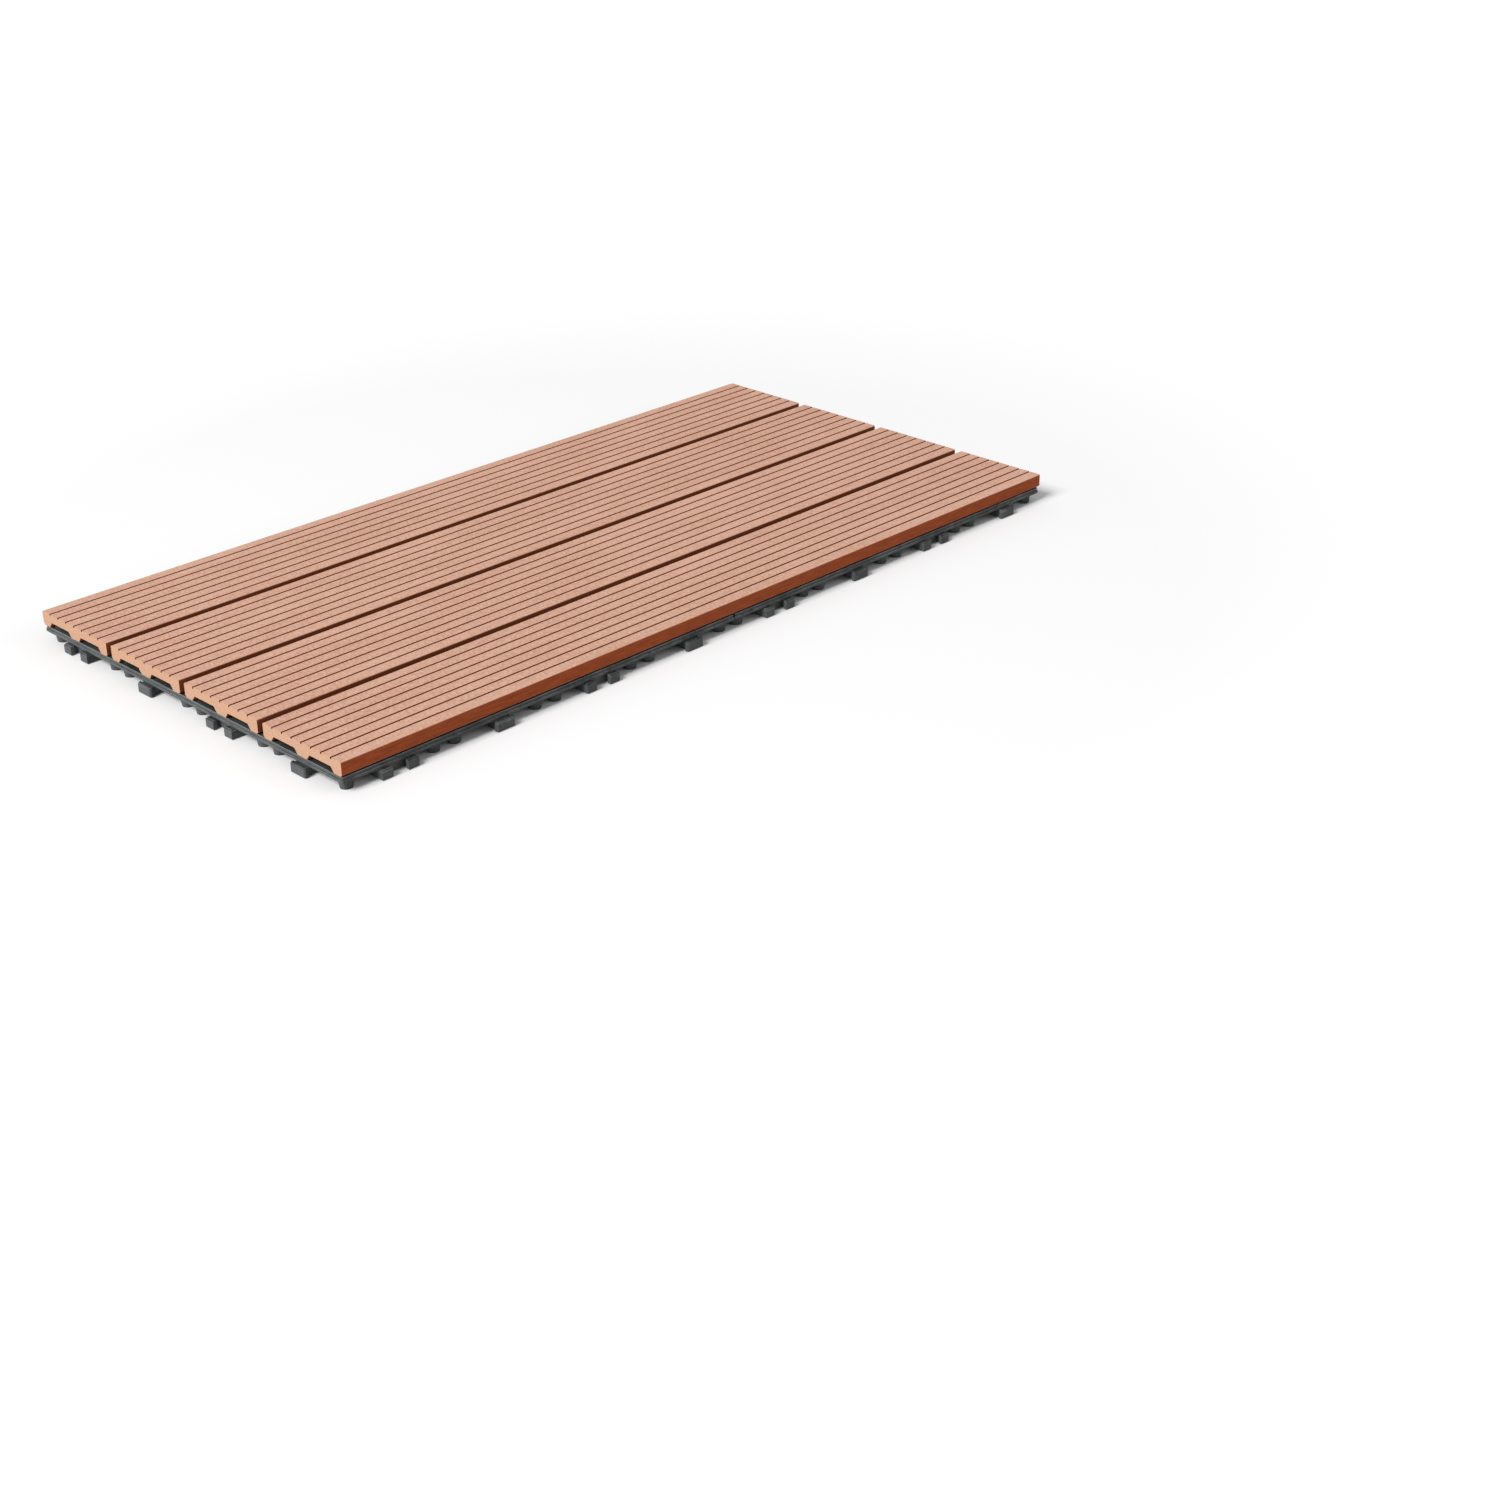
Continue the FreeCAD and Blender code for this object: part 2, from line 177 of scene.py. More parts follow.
def compositeMaterial():
    look = compositeLook
    material, tree, shader = startMaterial("woodComposite")
    place = addNode(tree, "ShaderNodeTexCoord")
    point = addNode(tree, "ShaderNodeSeparateXYZ", {0: place.outputs["Object"]})
    facing = addNode(tree, "ShaderNodeSeparateXYZ", {0: place.outputs["Normal"]})
    height = point.outputs[2]
    brushed = noiseNode(tree, look["brushed"])
    patches = noiseNode(tree, look["patches"])
    grain = noiseNode(tree, look["grain"])
    chips = noiseNode(tree, look["chips"])

    # Lands: brushed across their length, in paler and darker patches.
    lands = mixColours(tree, contrastNode(tree, brushed, look["brushed"]), look["topDark"], look["topPale"])
    lands = mixColours(tree, look["evenness"], lands, look["top"])
    pale = contrastNode(tree, patches, look["patches"], 0, look["patchShare"])
    lands = mixColours(tree, pale, lands, look["topPale"])

    # Grooves: painted shade in them and on the shoulders beside them.
    across = mathNode(tree, "MODULO", mathNode(
        tree, "ADD", point.outputs[1], tileHalf + boardPitch), boardPitch)
    fromMiddle = mathNode(tree, "ABSOLUTE", mathNode(tree, "SUBTRACT", across, boardWidth / 2))
    amongGrooves = mathNode(tree, "LESS_THAN", fromMiddle, boardWidth / 2 - look["edgeLand"])
    landPitch = boardWidth / look["landCount"]
    inLand = mathNode(tree, "MODULO", mathNode(tree, "ADD", across, landPitch / 2), landPitch)
    fromGroove = mathNode(tree, "ABSOLUTE", mathNode(tree, "SUBTRACT", inLand, landPitch / 2))
    shoulder = rampNode(tree, fromGroove, look["shoulderShade"], 0, *look["shoulder"])
    low, high = [boardTop - depth for depth in look["grooveFade"]]
    grooveShade = mathNode(tree, "MAXIMUM", shoulder, rampNode(tree, height, 1, 0, low, high))
    inGroove = mathNode(tree, "MULTIPLY", amongGrooves, grooveShade)
    top = mixColours(tree, inGroove, lands, look["groove"])

    # Sides: long grain; painted shade in the gaps between boards and on the grooves' walls.
    side = mixColours(tree, contrastNode(tree, grain, look["grain"]), look["sideDark"], look["side"])
    fromEdge = mathNode(tree, "SUBTRACT", tileHalf, mathNode(tree, "ABSOLUTE", point.outputs[1]))
    side = mixColours(tree, rampNode(tree, fromEdge, 0, 1, *look["outerWall"]), side, look["gap"])
    low, high = [boardTop - depth for depth in look["grooveWalls"]]
    onWall = mathNode(tree, "MULTIPLY", inGroove, rampNode(tree, height, 0, 1, low, high))
    side = mixColours(tree, onWall, side, look["groove"])
    sawn = mixColours(tree, contrastNode(tree, chips, look["chips"]), look["sawnDark"], look["sawn"])
    under = mixColours(tree, look["undersideShare"], side, look["underside"])

    downward = rampNode(tree, facing.outputs[2], 1, 0, *look["downward"])
    upward = rampNode(tree, facing.outputs[2], 0, 1, *look["upward"])
    endways = rampNode(tree, mathNode(tree, "ABSOLUTE", facing.outputs[0]), 0, 1, *look["endways"])
    colour = mixColours(tree, downward, side, under)
    colour = mixColours(tree, upward, colour, top)
    colour = mixColours(tree, endways, colour, sawn)
    tree.links.new(colour, shader.inputs["Base Color"])
    shader.inputs["Roughness"].default_value = look["roughness"]
    shader.inputs["Specular IOR Level"].default_value = look["specular"]
    bump = bumpNode(tree, brushed, *look["brushedBump"])
    tree.links.new(bumpNode(tree, chips, *look["chippedBump"], bump), shader.inputs["Normal"])
    return material


mouldingLook = {
    "charcoal": (0.012, 0.015, 0.016, 1),
    "dusty": (0.064, 0.067, 0.064, 1),
    # paler colours for the socket walls: painted light in the sockets' shade
    "socketPaintedLightCharcoal": (0.035, 0.037, 0.036, 1),
    "socketPaintedLightDusty": (0.10, 0.10, 0.095, 1),
    # pale lines along edges: painted highlights
    "edgeHighlight": (0.27, 0.28, 0.275, 1),
    "tips": (0.26, 0.26, 0.25, 1),          # undersides: worn by the ground at the feet's tips, with a painted highlight on higher downward faces
    "endPaintedLight": (0.088, 0.096, 0.100, 1),    # painted light on the faces below the boards' sawn ends
    "clouds": {"stretch": (1, 1, 1), "scale": 60.0, "detail": 5.0, "roughness": 0.65,
               "contrast": (0.4, 0.6)},
    "specks": {"stretch": (1, 1, 1), "scale": 900.0, "detail": 3.0, "roughness": 0.65,
               "contrast": (0.4, 0.6)},
    "dustContrast": (0.38, 0.62),
    "dustShare": 0.9,
    "endPaintedLightShare": 0.75,
    "edgeHighlightShare": (0.15, 0.85),            # least and most, in patches
    "tipShare": 0.7,
    "tipFade": 0.25,                        # what is left of it high up, where it is painted highlight
    "tipSpeckle": 0.6,
    # heights of the painted highlights along edges: clips' upper step and edge, ledge, rim's top edge
    "edgeHighlightHeights": [5.4 * millimetre, 6.2 * millimetre, 8.25 * millimetre, 10.1 * millimetre],
    "edgeHighlightWidth": 0.32 * millimetre,
    "tipHeights": (1 * millimetre, 5 * millimetre),     # most worn below the first; above the second only the faint painted highlight
    # parts of a face's normal over which the marks of that side set in: painted light on the ends, painted
    # highlights on upright faces, wear and painted highlight below
    "endways": (0.5, 0.9),
    "upright": (0.2, 0.6),
    "downward": (-0.95, -0.6),
    "roughness": 0.5,
    "specular": 0.3,
    "bump": (0.25, 0.2 * millimetre),
}


def mouldingMaterial(name, plain, dusty):
    look = mouldingLook
    material, tree, shader = startMaterial(name)
    place = addNode(tree, "ShaderNodeTexCoord")
    height = addNode(tree, "ShaderNodeSeparateXYZ", {0: place.outputs["Object"]}).outputs[2]
    facing = addNode(tree, "ShaderNodeSeparateXYZ", {0: place.outputs["Normal"]})
    clouds = noiseNode(tree, look["clouds"])
    specks = noiseNode(tree, look["specks"])

    # Dust in clouds and specks, and painted light on the faces at the ends
    blend = mathNode(tree, "MULTIPLY_ADD", specks, 0.5, mathNode(tree, "MULTIPLY", clouds, 0.5))
    dust = rampNode(tree, blend, 0, look["dustShare"], *look["dustContrast"])
    colour = mixColours(tree, dust, plain, dusty)
    endways = rampNode(tree, mathNode(tree, "ABSOLUTE", facing.outputs[0]), 0, look["endPaintedLightShare"],
                       *look["endways"])
    colour = mixColours(tree, endways, colour, look["endPaintedLight"])

    # Edges painted pale, as painted highlights
    edgeHighlight = 0.0
    for level in look["edgeHighlightHeights"]:
        away = mathNode(tree, "ABSOLUTE", mathNode(tree, "SUBTRACT", height, level))
        edgeHighlight = mathNode(tree, "MAXIMUM", edgeHighlight, rampNode(tree, away, 1, 0, 0, look["edgeHighlightWidth"]))
    upright = rampNode(tree, mathNode(tree, "ABSOLUTE", facing.outputs[2]), 1, 0, *look["upright"])
    patchy = contrastNode(tree, clouds, look["clouds"], *look["edgeHighlightShare"])
    edgeHighlight = mathNode(tree, "MULTIPLY", mathNode(tree, "MULTIPLY", edgeHighlight, upright), patchy)
    colour = mixColours(tree, edgeHighlight, colour, look["edgeHighlight"])

    # Undersides: wear at the feet's tips, and a fainter painted highlight on the higher downward faces
    downward = rampNode(tree, facing.outputs[2], look["tipShare"], 0, *look["downward"])
    tips = mathNode(tree, "MULTIPLY", downward, rampNode(
        tree, height, 1, look["tipFade"], *look["tipHeights"]))
    speckle = contrastNode(tree, specks, look["specks"], look["tipSpeckle"], 1)
    colour = mixColours(tree, mathNode(tree, "MULTIPLY", tips, speckle), colour, look["tips"])

    tree.links.new(colour, shader.inputs["Base Color"])
    shader.inputs["Roughness"].default_value = look["roughness"]
    shader.inputs["Specular IOR Level"].default_value = look["specular"]
    tree.links.new(bumpNode(tree, specks, *look["bump"]), shader.inputs["Normal"])
    return material


screwLook = {
    "zinc": (0.66, 0.66, 0.63, 1),
    "dull": (0.42, 0.42, 0.40, 1),
    "clouds": {"stretch": (1, 1, 1), "scale": 600.0, "detail": 3.0, "roughness": 0.55},
    "roughness": 0.38,
}


def screwMaterial():
    material, tree, shader = startMaterial("zincSteel")
    colour = mixColours(tree, noiseNode(tree, screwLook["clouds"]), screwLook["dull"], screwLook["zinc"])
    tree.links.new(colour, shader.inputs["Base Color"])
    shader.inputs["Metallic"].default_value = 1.0
    shader.inputs["Roughness"].default_value = screwLook["roughness"]
    return material


composite = compositeMaterial()
charcoal = mouldingMaterial("charcoalPlastic", mouldingLook["charcoal"], mouldingLook["dusty"])
# a paler copy of the plastic: painted light for the shaded socket walls
socketPaintedLightPlastic = mouldingMaterial("socketPaintedLightPlastic", mouldingLook["socketPaintedLightCharcoal"], mouldingLook["socketPaintedLightDusty"])
zinc = screwMaterial()
for name in boardNames:
    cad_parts[name].data.materials.clear()
    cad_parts[name].data.materials.append(composite)
print("boards finished")


# Moulded bases: rim and clips are outlines pulled up into prisms; ribs, hubs and feet are repeated by nodes

mouldingSizes = {
    # millimetres, apart from the counts and the bore's taper
    "moduleSide": 300.0, "baseHeight": 11.0, "cellsAcross": 4,
    "rimInset": 0.3, "rimWidth": 7.5, "rimDrop": 0.7, "rimHeight": 3.6, "rimCorner": 1.2, "cornerSteps": 5,
    "ledgeHeight": 1.6, "ledgeReach": 0.5, "ribThick": 1.9, "ribHeight": 4.7,
    "hubRadius": 6.4, "hubHole": 1.7, "hubBottom": 5.4, "hubSides": 28, "holeSides": 14,
    "feetAcross": 3, "footPitch": 30.0, "footTip": 3.8, "footTop": 5.1, "footSides": 18,
    "footBore": 2.55, "footBoreDepth": 9.0, "boreTaper": 0.9,
    "clipBottom": 0.5, "clipHeight": 5.8, "clipClearance": 0.35, "clipRoot": 8.0,
    "tabHead": 13.5, "tabNeck": 9.9, "headThick": 2.4, "headBevel": 0.8, "lipThick": 2.4,
    "prongReach": 2.3, "prongWidth": 7.4, "stepHeight": 0.8, "stepDepth": 0.7,
    "socketDepth": 4.0,                     # how far in from the module's edge the walls are paler, as painted light
    "pastCut": 1.0, "pastBore": 0.1,        # how far a cutting shape runs past what it cuts
    "openingTop": 20.0, "drillLength": 50.0,
}
rimOuter = mouldingSizes["moduleSide"] / 2 - mouldingSizes["rimInset"]
rimMiddle = rimOuter - mouldingSizes["rimWidth"] / 2
rimInner = rimOuter - mouldingSizes["rimWidth"]
rimTop = mouldingSizes["baseHeight"] - mouldingSizes["rimDrop"]
rimBottom = rimTop - mouldingSizes["rimHeight"]
ribBottom = mouldingSizes["baseHeight"] - mouldingSizes["ribHeight"]
cellSide = mouldingSizes["moduleSide"] / mouldingSizes["cellsAcross"]


def prismPiece(name, prisms):
    # Each prism is an outline going counter-clockwise, a bottom and a top, all in millimetres.
    points = []
    faces = []
    for outline, bottom, top in prisms:
        first = len(points)
        count = len(outline)
        points += [(x, y, bottom) for x, y in outline]
        points += [(x, y, top) for x, y in outline]
        faces.append(tuple(range(first + count - 1, first - 1, -1)))
        faces.append(tuple(range(first + count, first + 2 * count)))
        for corner in range(count):
            after = (corner + 1) % count
            faces.append((first + corner, first + after, first + count + after, first + count + corner))
    mesh = bpy.data.meshes.new(name)
    mesh.from_pydata([[value * millimetre for value in point] for point in points], [], faces)
    mesh.update()
    piece = bpy.data.objects.new(name, mesh)
    bpy.context.scene.collection.objects.link(piece)
    return piece


def boxOutline(left, front, right, back):
    return [(left, front), (right, front), (right, back), (left, back)]


def turnOutline(outline, quarters):
    for step in range(quarters):
        outline = [(-y, x) for x, y in outline]
    return outline


def roundedSquare(half, radius):
    steps = mouldingSizes["cornerSteps"]
    outline = []
    for quarter in range(4):
        for step in range(steps + 1):
            turn = math.pi / 2 * (quarter + step / steps)
            cornerX = (half - radius) * (1 if quarter in (0, 3) else -1)
            cornerY = (half - radius) * (1 if quarter in (0, 1) else -1)
            outline.append((cornerX + radius * math.cos(turn), cornerY + radius * math.sin(turn)))
    return outline


def clipOutlines():
    edge = -mouldingSizes["moduleSide"] / 2
    gap = mouldingSizes["clipClearance"]
    prongFace = edge - mouldingSizes["prongReach"]
    lipBack = prongFace + mouldingSizes["lipThick"]
    headBack = 2 * edge - lipBack - gap
    headTip = headBack - mouldingSizes["headThick"]
    socketEnd = 2 * edge - headTip + gap
    root = -rimOuter + mouldingSizes["clipRoot"]
    heel = socketEnd + gap
    neck = mouldingSizes["tabNeck"] / 2
    head = mouldingSizes["tabHead"] / 2
    bevel = mouldingSizes["headBevel"]
    step = mouldingSizes["stepDepth"]
    low = mouldingSizes["clipBottom"]
    high = low + mouldingSizes["clipHeight"]
    stepTop = high - mouldingSizes["stepHeight"]
    past = mouldingSizes["pastCut"]
    bodies = []
    tops = []
    heels = []
    sockets = []
    for number in range(mouldingSizes["cellsAcross"]):
        x = (number - (mouldingSizes["cellsAcross"] - 1) / 2) * cellSide
        if number % 2:      # a tab
            for layer, inset, bottom, top in [
                    (bodies, 0, low, stepTop), (tops, step / 2, stepTop - step, high)]:
                tip = headTip + inset
                wide = head - inset
                layer.append(([(x - neck, root), (x - neck, headBack), (x - wide, headBack),
                               (x - wide, tip + bevel), (x - wide + bevel, tip),
                               (x + wide - bevel, tip), (x + wide, tip + bevel),
                               (x + wide, headBack), (x + neck, headBack), (x + neck, root)], bottom, top))
            heels.append((boxOutline(x - neck, heel, x + neck, root), stepTop - step, rimBottom + gap))
        else:               # a socket between two prongs
            mouth = neck + gap
            wide = mouth + mouldingSizes["prongWidth"]
            bodies.append((boxOutline(x - wide, prongFace, x + wide, root), low, stepTop))
            wide -= step
            tops.append((boxOutline(x - wide, prongFace + step, x + wide, root - step), stepTop - step, high))
            heels.append((boxOutline(x - wide, heel, x + wide, root - step), stepTop - step, rimBottom + gap))
            sockets.append(([(x - mouth, prongFace - past), (x + mouth, prongFace - past),
                             (x + mouth, lipBack), (x + head + gap, lipBack), (x + head + gap, socketEnd),
                             (x - head - gap, socketEnd), (x - head - gap, lipBack), (x - mouth, lipBack)],
                            low - past, high + gap))
    return {"clipBodies": bodies, "clipTops": tops, "clipHeels": heels, "clipSockets": sockets}


latticeSizes = {
    "Rib thickness": mouldingSizes["ribThick"], "Rib height": mouldingSizes["ribHeight"],
    "Rib bottom": ribBottom, "Rib pitch": cellSide / 2 / math.sqrt(2), "Reach": rimMiddle,
    "Foot tip radius": mouldingSizes["footTip"], "Foot top radius": mouldingSizes["footTop"],
    "Bore radius": mouldingSizes["footBore"], "Bore depth": mouldingSizes["footBoreDepth"],
    "Foot height": mouldingSizes["baseHeight"], "Foot pitch": mouldingSizes["footPitch"],
    "Cell side": cellSide, "Hub radius": mouldingSizes["hubRadius"],
    "Hub hole": mouldingSizes["hubHole"], "Hub bottom": mouldingSizes["hubBottom"],
}


def latticeTree():
    tree = bpy.data.node_groups.new("latticeAndFeet", "GeometryNodeTree")
    tree.interface.new_socket("Geometry", in_out="OUTPUT", socket_type="NodeSocketGeometry")
    tree.interface.new_socket("Rim", in_out="INPUT", socket_type="NodeSocketGeometry")
    for name in latticeSizes:
        tree.interface.new_socket(name, in_out="INPUT", socket_type="NodeSocketFloat")
    tree.interface.new_socket("Finish", in_out="INPUT", socket_type="NodeSocketMaterial")
    given = tree.nodes.new("NodeGroupInput").outputs
    index = addNode(tree, "GeometryNodeInputIndex").outputs[0]

    def pointsAt(count, position):
        cloud = addNode(tree, "GeometryNodePoints", {"Count": count, "Position": position})
        return cloud.outputs[0]

    def repeat(points, shape, scale=(1, 1, 1)):
        copies = addNode(tree, "GeometryNodeInstanceOnPoints", {
            "Points": points, "Instance": shape, "Scale": scale})
        return addNode(tree, "GeometryNodeRealizeInstances", {0: copies.outputs[0]}).outputs[0]

    def turnShape(shape, degrees):
        return addNode(tree, "GeometryNodeTransform", {
            "Geometry": shape, "Rotation": (0, 0, math.radians(degrees))}).outputs[0]

    # Ribs: one bar per line, as long as its line is inside the rim.
    ribHeight = mathNode(tree, "MULTIPLY_ADD", given["Rib height"], 0.5, given["Rib bottom"])
    bar = addNode(tree, "GeometryNodeMeshCube", {
        "Size": vectorNode(tree, given["Rib thickness"], 1.0, given["Rib height"])}).outputs[0]
    ribsEachSide = 2 * mouldingSizes["cellsAcross"] - 1
    step = mathNode(tree, "SUBTRACT", index, float(ribsEachSide))
    ribX = mathNode(tree, "MULTIPLY", step, given["Rib pitch"])
    diagonal = mathNode(tree, "MULTIPLY", given["Reach"], math.sqrt(2))
    ribLength = mathNode(tree, "MULTIPLY", mathNode(
        tree, "SUBTRACT", diagonal, mathNode(tree, "ABSOLUTE", ribX)), 2.0)
    lines = pointsAt(2 * ribsEachSide + 1, vectorNode(tree, ribX, 0.0, ribHeight))
    parallels = repeat(lines, bar, vectorNode(tree, 1.0, ribLength, 1.0))
    straight = repeat(pointsAt(1, vectorNode(tree, 0.0, 0.0, ribHeight)), bar,
                      vectorNode(tree, 1.0, mathNode(tree, "MULTIPLY", given["Reach"], 2.0), 1.0))

    # Feet: tapered tubes, three by three in each cell.
    sides = mouldingSizes["footSides"]
    tube = addNode(tree, "GeometryNodeMeshCone", {
        "Vertices": sides, "Radius Top": given["Foot top radius"],
        "Radius Bottom": given["Foot tip radius"], "Depth": given["Foot height"]}).outputs[0]
    narrow = mathNode(tree, "MULTIPLY", given["Bore radius"], mouldingSizes["boreTaper"])
    bore = addNode(tree, "GeometryNodeMeshCone", {
        "Vertices": sides, "Radius Top": narrow, "Radius Bottom": given["Bore radius"],
        "Depth": given["Bore depth"]}).outputs[0]
    bore = addNode(tree, "GeometryNodeTransform", {
        "Geometry": bore, "Translation": (0, 0, -mouldingSizes["pastBore"] * millimetre)}).outputs[0]
    hollow = addNode(tree, "GeometryNodeMeshBoolean", {0: tube, 1: bore}, operation="DIFFERENCE",
                     solver="MANIFOLD").outputs[0]
    feetAcross = float(mouldingSizes["feetAcross"])
    rowLength = feetAcross * mouldingSizes["cellsAcross"]
    column = mathNode(tree, "MODULO", index, rowLength)
    row = mathNode(tree, "FLOOR", mathNode(tree, "DIVIDE", index, rowLength))

    def footPlace(number):
        cell = mathNode(tree, "FLOOR", mathNode(tree, "DIVIDE", number, feetAcross))
        inCell = mathNode(tree, "SUBTRACT", mathNode(
            tree, "MODULO", number, feetAcross), (feetAcross - 1) / 2)
        middle = mathNode(tree, "SUBTRACT", cell, (mouldingSizes["cellsAcross"] - 1) / 2)
        return mathNode(tree, "MULTIPLY_ADD", middle, given["Cell side"],
                        mathNode(tree, "MULTIPLY", inCell, given["Foot pitch"]))

    grid = pointsAt(int(rowLength ** 2), vectorNode(tree, footPlace(column), footPlace(row), 0.0))
    feet = repeat(grid, hollow)

    # Hubs: low round bosses with a small hole at the inner corners of the cells.
    hubsAcross = float(mouldingSizes["cellsAcross"] - 1)
    hubHeight = mathNode(tree, "SUBTRACT", given["Foot height"], given["Hub bottom"])
    hubMiddle = mathNode(tree, "MULTIPLY_ADD", hubHeight, 0.5, given["Hub bottom"])
    disc = addNode(tree, "GeometryNodeMeshCylinder", {
        "Vertices": mouldingSizes["hubSides"], "Radius": given["Hub radius"], "Depth": hubHeight}).outputs[0]
    hole = addNode(tree, "GeometryNodeMeshCylinder", {
        "Vertices": mouldingSizes["holeSides"], "Radius": given["Hub hole"],
        "Depth": mouldingSizes["drillLength"] * millimetre}).outputs[0]
    hubColumn = mathNode(tree, "MODULO", index, hubsAcross)
    hubRow = mathNode(tree, "FLOOR", mathNode(tree, "DIVIDE", index, hubsAcross))
    hubX, hubY = [mathNode(tree, "MULTIPLY", given["Cell side"], mathNode(
        tree, "SUBTRACT", number, (hubsAcross - 1) / 2)) for number in (hubColumn, hubRow)]
    hubPoints = pointsAt(int(hubsAcross ** 2), vectorNode(tree, hubX, hubY, hubMiddle))
    discs = repeat(hubPoints, disc)
    holes = repeat(hubPoints, hole)

    union = addNode(tree, "GeometryNodeMeshBoolean", operation="UNION", solver="MANIFOLD")
    for shape in [given["Rim"], turnShape(parallels, 45), turnShape(parallels, -45), straight,
                  turnShape(straight, 90), feet, discs]:
        tree.links.new(shape, union.inputs[1])
    drilled = addNode(tree, "GeometryNodeMeshBoolean", {0: union.outputs[0], 1: holes},
                      operation="DIFFERENCE", solver="MANIFOLD")
    whole = addNode(tree, "GeometryNodeRealizeInstances", {0: drilled.outputs[0]})
    finish = addNode(tree, "GeometryNodeSetMaterial", {0: whole.outputs[0], "Material": given["Finish"]})
    output = tree.nodes.new("NodeGroupOutput")
    tree.links.new(finish.outputs[0], output.inputs[0])
    return tree


def setInput(modifier, name, value):
    socket = next(item for item in modifier.node_group.interface.items_tree
                  if item.item_type == "SOCKET" and item.in_out == "INPUT" and item.name == name)
    modifier[socket.identifier] = value


def addBoolean(piece, operation, tool):
    cut = piece.modifiers.new(tool.name, "BOOLEAN")
    cut.operation = operation
    cut.object = tool
    cut.solver = "MANIFOLD"


def plainCopy(piece, name):
    # The finished shape as a plain mesh at the origin.
    bpy.context.view_layer.update()
    graph = bpy.context.evaluated_depsgraph_get()
    mesh = bpy.data.meshes.new_from_object(piece.evaluated_get(graph))
    mesh.name = name
    made = bpy.data.objects.new(name, mesh)
    bpy.context.scene.collection.objects.link(made)
    return made


def makeMoulding():
    # One moulding about the origin; both bases are copies of it.
    ledge = mouldingSizes["ledgeReach"]
    corner = mouldingSizes["rimCorner"]
    outer = prismPiece("rim", [(roundedSquare(rimOuter - ledge, corner), rimBottom, rimTop)])
    band = prismPiece("ledge", [(roundedSquare(rimOuter, corner), rimBottom,
                                 rimBottom + mouldingSizes["ledgeHeight"])])
    inner = prismPiece("rimOpening", [(boxOutline(-rimInner, -rimInner, rimInner, rimInner), 0,
                                       mouldingSizes["openingTop"])])
    clips = [prismPiece(name, [(turnOutline(outline, quarter), low, high)
                               for outline, low, high in prisms for quarter in range(4)])
             for name, prisms in clipOutlines().items()]
    addBoolean(outer, "UNION", band)
    addBoolean(outer, "DIFFERENCE", inner)
    nodes = outer.modifiers.new("lattice", "NODES")
    nodes.node_group = latticeTree()
    for name, value in latticeSizes.items():
        setInput(nodes, name, value * millimetre)
    setInput(nodes, "Finish", charcoal)
    for tool in clips:
        addBoolean(outer, "DIFFERENCE" if tool.name == "clipSockets" else "UNION", tool)
    moulding = plainCopy(outer, "moulding")
    for tool in [outer, band, inner] + clips:
        bpy.data.objects.remove(tool)
    return moulding


def inSocket(face):
    # True for a wall inside one of the sockets, which gets the paler plastic as painted light; all four sides
    # are laid over the front one.
    x, y, z = (value / millimetre for value in face.center)
    side = max([(-y, x), (x, y), (y, -x), (-x, -y)])
    fromEdge = mouldingSizes["moduleSide"] / 2 - side[0]
    inCell = (side[1] + mouldingSizes["moduleSide"] / 2) % (2 * cellSide) - cellSide / 2
    wide = mouldingSizes["tabHead"] / 2 + 2 * mouldingSizes["clipClearance"]
    inside = -mouldingSizes["prongReach"] < fromEdge < mouldingSizes["socketDepth"] and abs(inCell) < wide
    upright = abs(face.normal.z) < 0.5
    return inside and upright and mouldingSizes["clipBottom"] < z < rimBottom


moulding = makeMoulding()
moulding.data.materials.clear()
for finish in (charcoal, socketPaintedLightPlastic):
    moulding.data.materials.append(finish)
# socket walls take the paler copy, as painted light
for face in moulding.data.polygons:
    face.material_index = 1 if inSocket(face) else 0
print("moulding faces:", len(moulding.data.polygons))
for name in baseNames:
    baseLow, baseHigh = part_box(name)
    centre = (baseLow + baseHigh) / 2
    mesh = moulding.data.copy()
    mesh.transform(Matrix.Translation((centre.x, centre.y, 0)))
    piece = bpy.data.objects.new(name + "_moulding", mesh)
    bpy.context.scene.collection.objects.link(piece)
    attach(piece, "root")
    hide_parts(name)
bpy.data.objects.remove(moulding)
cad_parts["screws"].data.materials.clear()
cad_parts["screws"].data.materials.append(zinc)
print("bases finished")


# Floor, light and camera

stageLook = {
    "floor": (0.86, 0.86, 0.86, 1),
    "floorHalf": 12.0,          # metres
    "floorRoughness": 0.9,
    "floorGlow": 0.35,          # added to the far floor as the camera sees it
    "glowFrom": 0.4,            # metres from the middle
    "glowTo": 1.3,
    "world": (1.0, 1.0, 1.0, 1),
    "worldStrength": 0.42,      # as light; seen by the camera it is plain white
    "lamps": [
        # name, place, size and power in watts
        ("key", (-7.5, -0.6, 6.6), 4.0, 1080),
        ("fill", (2.4, -3.6, 2.2), 2.2, 24),
    ],
}


def seenDirectly(tree):
    seen = tree.nodes.new("ShaderNodeLightPath").outputs
    mirrored = mathNode(tree, "MAXIMUM", seen["Is Glossy Ray"], seen["Is Transmission Ray"])
    return mathNode(tree, "MAXIMUM", seen["Is Camera Ray"], mirrored)


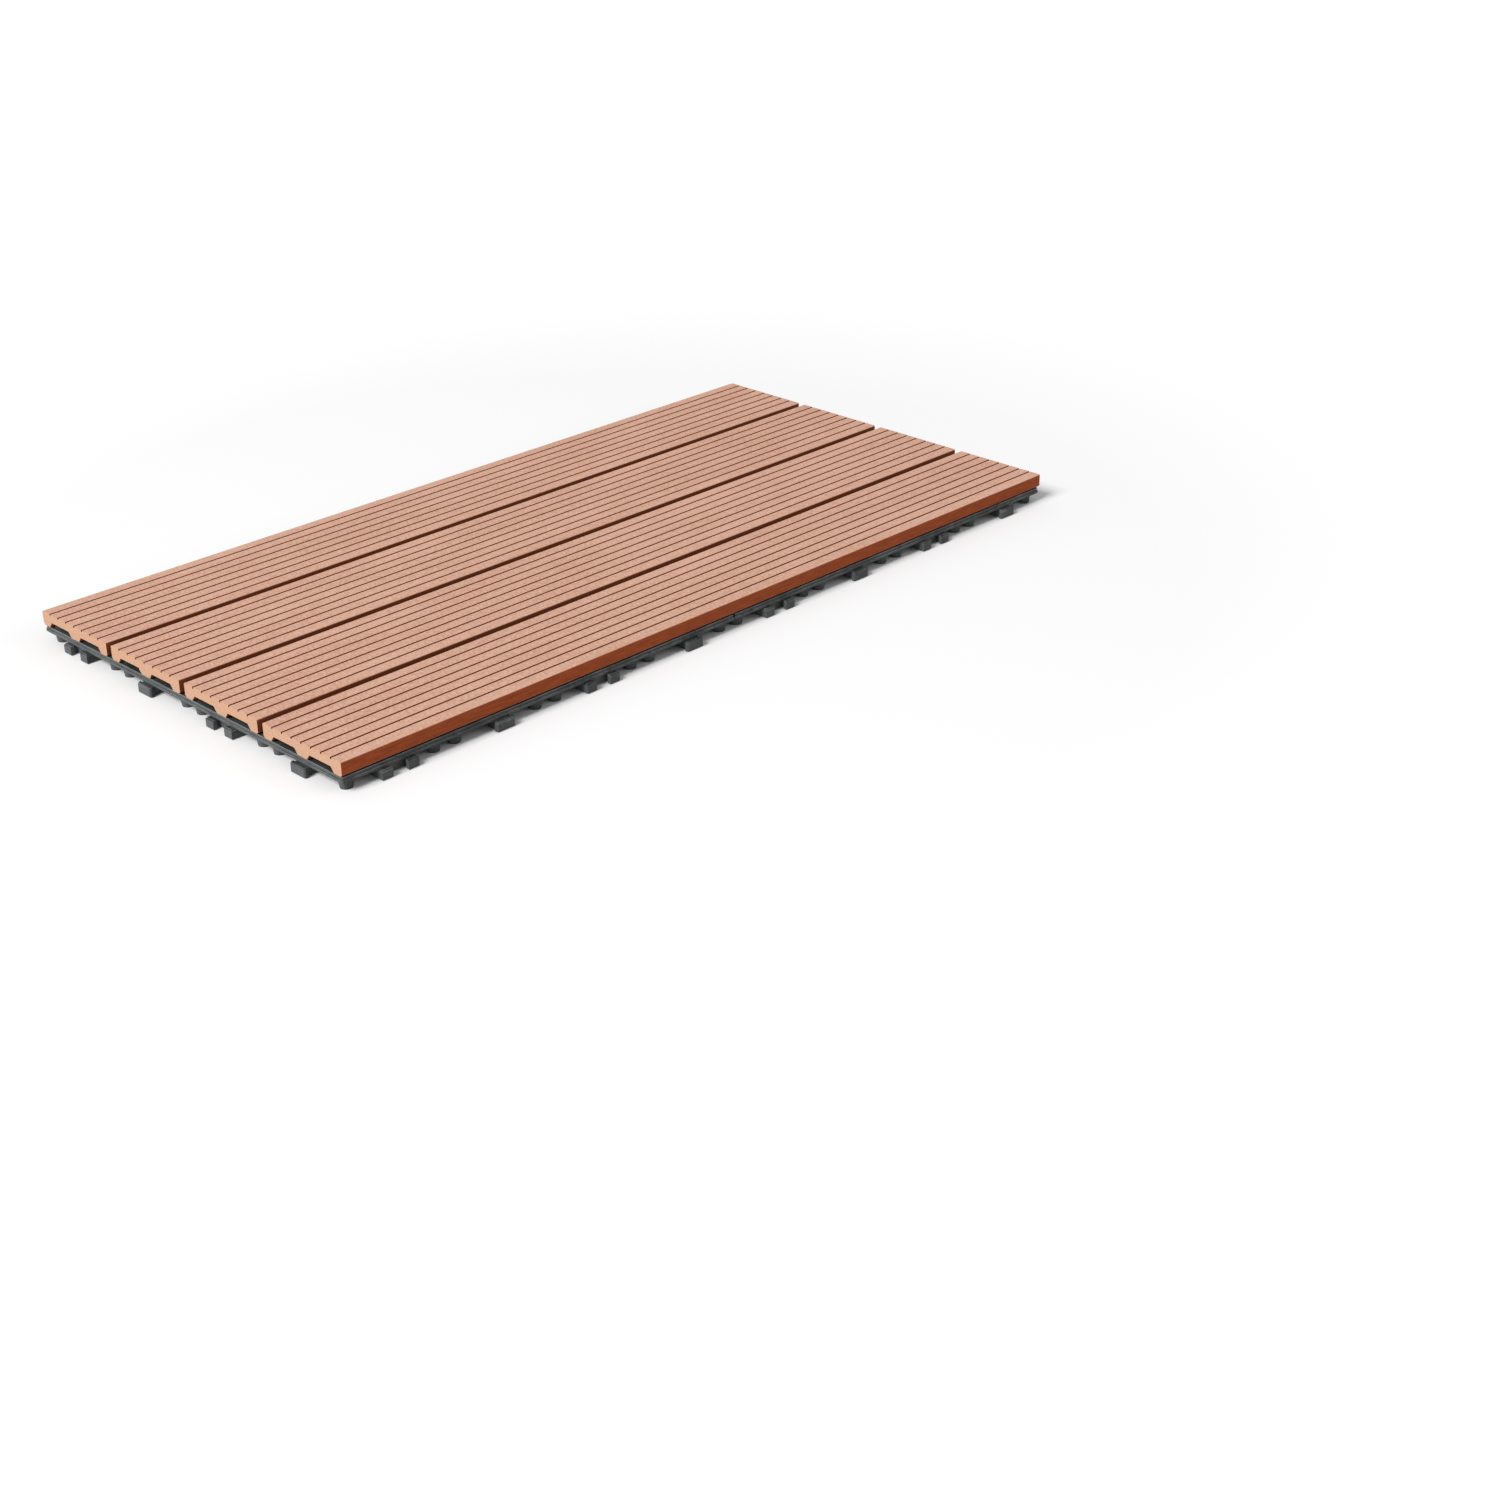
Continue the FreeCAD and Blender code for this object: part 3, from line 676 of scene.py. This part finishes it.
def makeFloor():
    half = stageLook["floorHalf"]
    mesh = bpy.data.meshes.new("floor")
    corners = [(x, y, 0) for x, y in boxOutline(-half, -half, half, half)]
    mesh.from_pydata(corners, [], [(0, 1, 2, 3)])
    floor = bpy.data.objects.new("floor", mesh)
    bpy.context.scene.collection.objects.link(floor)
    material, tree, shader = startMaterial("paleFloor")
    shader.inputs["Base Color"].default_value = stageLook["floor"]
    shader.inputs["Roughness"].default_value = stageLook["floorRoughness"]
    shader.inputs["Specular IOR Level"].default_value = 0.0
    shader.inputs["Emission Color"].default_value = (1, 1, 1, 1)
    distance = addNode(tree, "ShaderNodeVectorMath", {0: objectCoordinates(tree)}, operation="LENGTH")
    glow = rampNode(tree, distance.outputs["Value"], 0, stageLook["floorGlow"],
                    stageLook["glowFrom"], stageLook["glowTo"])
    tree.links.new(mathNode(tree, "MULTIPLY", seenDirectly(tree), glow), shader.inputs["Emission Strength"])
    mesh.materials.append(material)


def makeRoom():
    world = bpy.data.worlds.new("softRoom")
    world.use_nodes = True
    tree = world.node_tree
    background = tree.nodes["Background"]
    background.inputs[0].default_value = stageLook["world"]
    strength = rampNode(tree, seenDirectly(tree), stageLook["worldStrength"], 1.0, 0.0, 1.0)
    tree.links.new(strength, background.inputs[1])
    bpy.context.scene.world = world


def makeLamps():
    for name, place, size, power in stageLook["lamps"]:
        lamp = bpy.data.lights.new(name, "AREA")
        lamp.size = size
        lamp.energy = power
        holder = bpy.data.objects.new(name, lamp)
        holder.location = place
        holder.rotation_euler = (-Vector(place)).to_track_quat("-Z", "Y").to_euler()
        bpy.context.scene.collection.objects.link(holder)


cameraView = {
    "azimuth": -45.375, "elevation": 26.736, "roll": -0.737,   # degrees
    "place": (-957.5, -1105.8, 598.3),                         # millimetres
    "focalPixels": 2396.5, "imageSide": 1500.0, "sensor": 36.0,
}


def makeCamera():
    view = cameraView
    azimuth = math.radians(view["azimuth"])
    elevation = math.radians(view["elevation"])
    roll = math.radians(view["roll"])
    back = Vector((math.sin(azimuth) * math.cos(elevation), -math.cos(azimuth) * math.cos(elevation),
                   math.sin(elevation)))
    right = Vector((0, 0, 1)).cross(back).normalized()
    up = back.cross(right)
    leanRight = math.cos(roll) * right + math.sin(roll) * up
    leanUp = -math.sin(roll) * right + math.cos(roll) * up
    data = bpy.data.cameras.new("camera")
    data.sensor_width = view["sensor"]
    data.lens = view["focalPixels"] / view["imageSide"] * view["sensor"]
    camera = bpy.data.objects.new("camera", data)
    turn = Matrix((leanRight, leanUp, back)).transposed().to_4x4()
    camera.matrix_world = Matrix.Translation([value * millimetre for value in view["place"]]) @ turn
    bpy.context.scene.collection.objects.link(camera)
    bpy.context.scene.camera = camera


makeFloor()
makeRoom()
makeLamps()
makeCamera()
bpy.context.scene.view_settings.view_transform = "Standard"
print("stage and camera ready")
